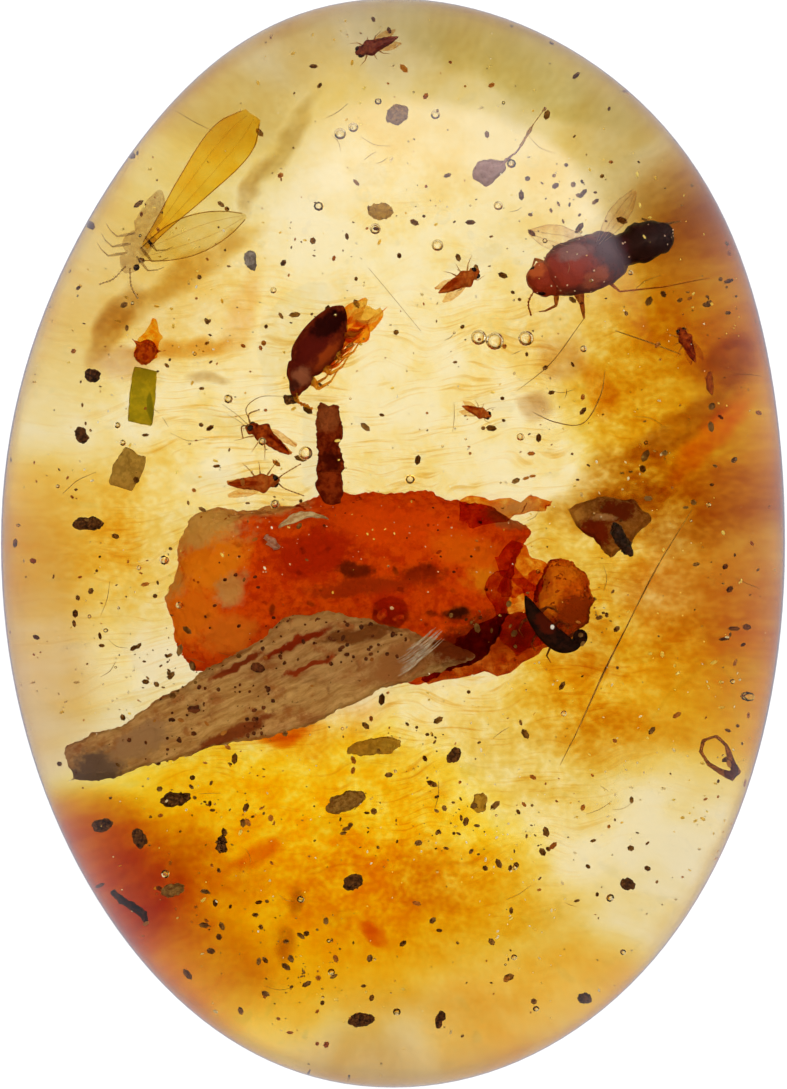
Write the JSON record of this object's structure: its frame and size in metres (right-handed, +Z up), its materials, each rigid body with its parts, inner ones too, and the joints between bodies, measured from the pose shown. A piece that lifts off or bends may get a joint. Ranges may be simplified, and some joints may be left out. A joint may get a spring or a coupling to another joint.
{
  "type": "insect in amber",
  "caption": "Polished oval amber cabochon, flat below and domed above, with beetles, midges and plant debris sealed inside.",
  "frame": {"origin": "middle of the flat base, under the centre of the oval", "axes": "+X across the oval, +Y along it towards the narrower end with the winged insect, +Z up out of the dome"},
  "size_m": [0.018, 0.025, 0.008],
  "materials": {
    "amber": "clear yellow, polished",
    "beetle_shell": "glossy red-brown to black shell",
    "midge_body": "glossy red-brown",
    "pale_wing": "thin golden membrane",
    "red_plant": "deep red plant tissue",
    "splinter_wood": "pale weathered grain",
    "orange_resin": "orange resin",
    "dark_bark": "rough dark bark",
    "leaf": "olive green leaf",
    "seed": "grey-brown seed coat",
    "fibre": "dark brown fibre",
    "dark_pellet": "dull dark brown",
    "pale_pellet": "dull olive grey"
  },
  "bodies": {
    "root": {"amber_upper": "amber", "amber_lower": "amber", "brown_beetle": "beetle_shell", "long_beetle": "beetle_shell", "black_beetle": "beetle_shell", "upper_midge": "midge_body", "lower_midge": "midge_body", "middle_gnat": "midge_body", "small_gnat": "midge_body", "right_gnat": "midge_body", "top_gnat": "midge_body", "winged_insect": "pale_wing", "plant_chunk": "red_plant", "wood_splinter": "splinter_wood", "resin_lump": "orange_resin", "rust_drop": "orange_resin", "bark_flake": "dark_bark", "twig": "dark_bark", "green_leaf_bit": "leaf", "olive_leaf_bit": "leaf", "winged_seed": "seed", "curled_fibre": "fibre", "root_fibre": "fibre", "red_spindle": "fibre", "dark_pellet_01": "dark_pellet", "dark_pellet_02": "dark_pellet", "dark_pellet_03": "dark_pellet", "dark_pellet_04": "dark_pellet", "dark_pellet_05": "dark_pellet", "dark_pellet_06": "dark_pellet", "dark_pellet_07": "dark_pellet", "dark_pellet_08": "dark_pellet", "dark_pellet_09": "dark_pellet", "dark_pellet_10": "dark_pellet", "dark_pellet_11": "dark_pellet", "dark_pellet_12": "dark_pellet", "dark_pellet_13": "dark_pellet", "dark_pellet_14": "dark_pellet", "dark_pellet_15": "dark_pellet", "dark_pellet_16": "dark_pellet", "pale_pellet_01": "pale_pellet", "pale_pellet_02": "pale_pellet", "pale_pellet_03": "pale_pellet", "pale_pellet_04": "pale_pellet", "pale_pellet_05": "pale_pellet", "pale_pellet_06": "pale_pellet"}
  },
  "joints": []
}
